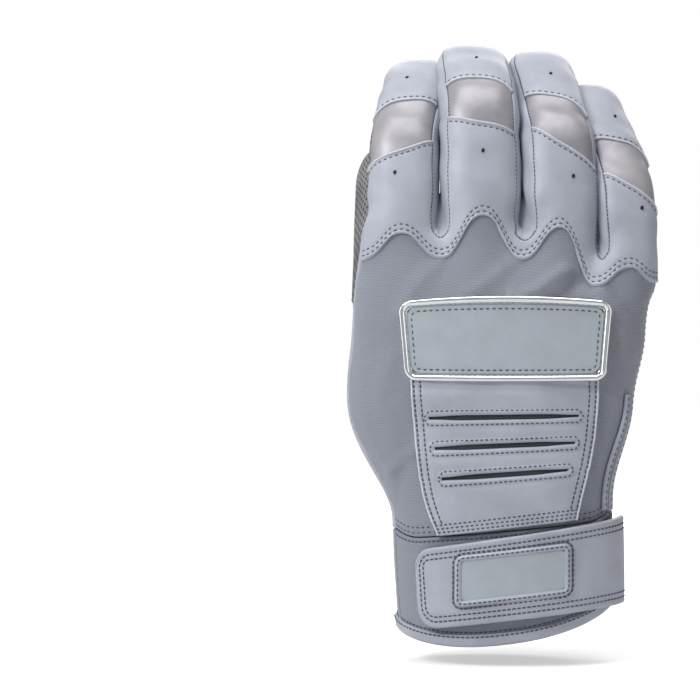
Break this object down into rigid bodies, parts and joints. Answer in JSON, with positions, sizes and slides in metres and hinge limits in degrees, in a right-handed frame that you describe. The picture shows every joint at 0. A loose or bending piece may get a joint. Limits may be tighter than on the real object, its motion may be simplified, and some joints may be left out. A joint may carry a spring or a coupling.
{
  "type": "batting glove",
  "caption": "Right-hand leather batting glove with curled fingers, stretch back, bare badge, slotted flex panel and a hook-and-loop wrist strap.",
  "frame": {"origin": "middle of the cuff mouth, where a hand goes in", "axes": "+Z from the wrist to the fingertips, -Y out of the back of the hand, -X the thumb side; millimetre model, metres here"},
  "size_m": [0.1116, 0.0733, 0.2099],
  "materials": {
    "leather": "smooth bluish grey",
    "palm_leather": "embossed dark grey",
    "satin_leather": "silvery satin",
    "stretch_knit": "ribbed knit",
    "heather_knit": "heathered",
    "dark_elastic": "matte",
    "lining": "matte",
    "loop_pile": "pile",
    "hook_tape": "hooks",
    "bright_trim": "mirror bright",
    "badge_plate": "satin",
    "badge_rim": "matte",
    "patch_rubber": "satin"
  },
  "bodies": {
    "hand": {"back_stretch_panel": "stretch_knit", "badge_frame": "bright_trim", "badge_plate": "badge_plate", "crotch_index_middle": "leather", "crotch_middle_ring": "leather", "crotch_ring_pinky": "leather", "cuff_back_band": "leather", "cuff_hem_binding": "leather", "cuff_lining": "lining", "cuff_palm_band": "heather_knit", "edge_side_panel": "leather", "flex_liner": "dark_elastic", "flex_panel": "leather", "knuckle_yoke": "leather", "loop_pad": "loop_pile", "palm_panel": "palm_leather", "palm_patch": "patch_rubber", "thumb_side_panel": "leather", "vent_binding": "leather"},
    "index_base": {"index_proximal_back": "leather", "index_proximal_fourchette_far": "leather", "index_proximal_palm": "palm_leather"},
    "index_end": {"index_distal_fourchette_far": "leather", "index_distal_palm": "palm_leather", "index_mid_back": "satin_leather", "index_tip_back": "leather"},
    "middle_base": {"middle_proximal_back": "leather", "middle_proximal_fourchette_far": "leather", "middle_proximal_fourchette_near": "leather", "middle_proximal_palm": "palm_leather"},
    "middle_end": {"middle_distal_fourchette_far": "leather", "middle_distal_fourchette_near": "leather", "middle_distal_palm": "palm_leather", "middle_mid_back": "satin_leather", "middle_tip_back": "leather"},
    "ring_base": {"ring_proximal_back": "leather", "ring_proximal_fourchette_far": "leather", "ring_proximal_fourchette_near": "leather", "ring_proximal_palm": "palm_leather"},
    "ring_end": {"ring_distal_fourchette_far": "leather", "ring_distal_fourchette_near": "leather", "ring_distal_palm": "palm_leather", "ring_mid_back": "satin_leather", "ring_tip_back": "leather"},
    "pinky_base": {"pinky_proximal_back": "leather", "pinky_proximal_fourchette_near": "leather", "pinky_proximal_palm": "palm_leather"},
    "pinky_end": {"pinky_distal_fourchette_near": "leather", "pinky_distal_palm": "palm_leather", "pinky_mid_back": "satin_leather", "pinky_tip_back": "leather"},
    "thumb_base": {"thumb_base_back": "leather", "thumb_base_palm": "palm_leather"},
    "thumb_end": {"thumb_tip_back": "leather", "thumb_tip_palm": "palm_leather"},
    "strap": {"strap_badge_frame": "badge_rim", "strap_badge_plate": "badge_plate", "strap_hook_pad": "hook_tape", "wrist_strap": "leather"}
  },
  "joints": [
    {"name": "index_knuckle_flex", "type": "hinge", "parent": "hand", "child": "index_base", "pos_m": [-0.03573, 0.01199, 0.146], "axis": [-0.999, 0.0436, 0], "range_deg": [-8, 20], "stiffness_Nm_per_rad": 0.25},
    {"name": "index_middle_flex", "type": "hinge", "parent": "index_base", "child": "index_end", "pos_m": [-0.03557, 0.01562, 0.16394], "axis": [-0.999, 0.0436, 0], "range_deg": [-20, 34], "stiffness_Nm_per_rad": 0.15},
    {"name": "middle_knuckle_flex", "type": "hinge", "parent": "hand", "child": "middle_base", "pos_m": [-0.01121, 0.01247, 0.15], "axis": [-0.9976, -0.0698, 0], "range_deg": [-8, 50], "stiffness_Nm_per_rad": 0.25},
    {"name": "middle_middle_flex", "type": "hinge", "parent": "middle_base", "child": "middle_end", "pos_m": [-0.01152, 0.01692, 0.17461], "axis": [-0.9976, -0.0698, 0], "range_deg": [-25, 60], "stiffness_Nm_per_rad": 0.15},
    {"name": "ring_knuckle_flex", "type": "hinge", "parent": "hand", "child": "ring_base", "pos_m": [0.01417, 0.01226, 0.147], "axis": [-0.9816, -0.1908, 0], "range_deg": [-8, 50], "stiffness_Nm_per_rad": 0.25},
    {"name": "ring_middle_flex", "type": "hinge", "parent": "ring_base", "child": "ring_end", "pos_m": [0.01366, 0.01487, 0.16432], "axis": [-0.9816, -0.1908, 0], "range_deg": [-20, 60], "stiffness_Nm_per_rad": 0.15},
    {"name": "pinky_knuckle_flex", "type": "hinge", "parent": "hand", "child": "pinky_base", "pos_m": [0.03831, 0.01126, 0.136], "axis": [-0.9563, -0.2924, 0], "range_deg": [-8, 50], "stiffness_Nm_per_rad": 0.25},
    {"name": "pinky_middle_flex", "type": "hinge", "parent": "pinky_base", "child": "pinky_end", "pos_m": [0.0375, 0.01391, 0.15024], "axis": [-0.9563, -0.2924, 0], "range_deg": [-15, 60], "stiffness_Nm_per_rad": 0.15},
    {"name": "thumb_swing", "type": "hinge", "parent": "hand", "child": "thumb_base", "pos_m": [-0.05768, 0.01168, 0.08494], "axis": [0.2502, -0.9496, 0.1887], "range_deg": [0, 40], "stiffness_Nm_per_rad": 0.3},
    {"name": "thumb_flex", "type": "hinge", "parent": "thumb_base", "child": "thumb_end", "pos_m": [-0.04752, 0.03585, 0.13084], "axis": [-0.968, -0.2413, 0.069], "range_deg": [-8, 45], "stiffness_Nm_per_rad": 0.15},
    {"name": "strap_peel", "type": "hinge", "parent": "hand", "child": "strap", "pos_m": [0.04123, -0.00359, 0.02673], "axis": [0, 0, 1], "range_deg": [0, 160]}
  ]
}
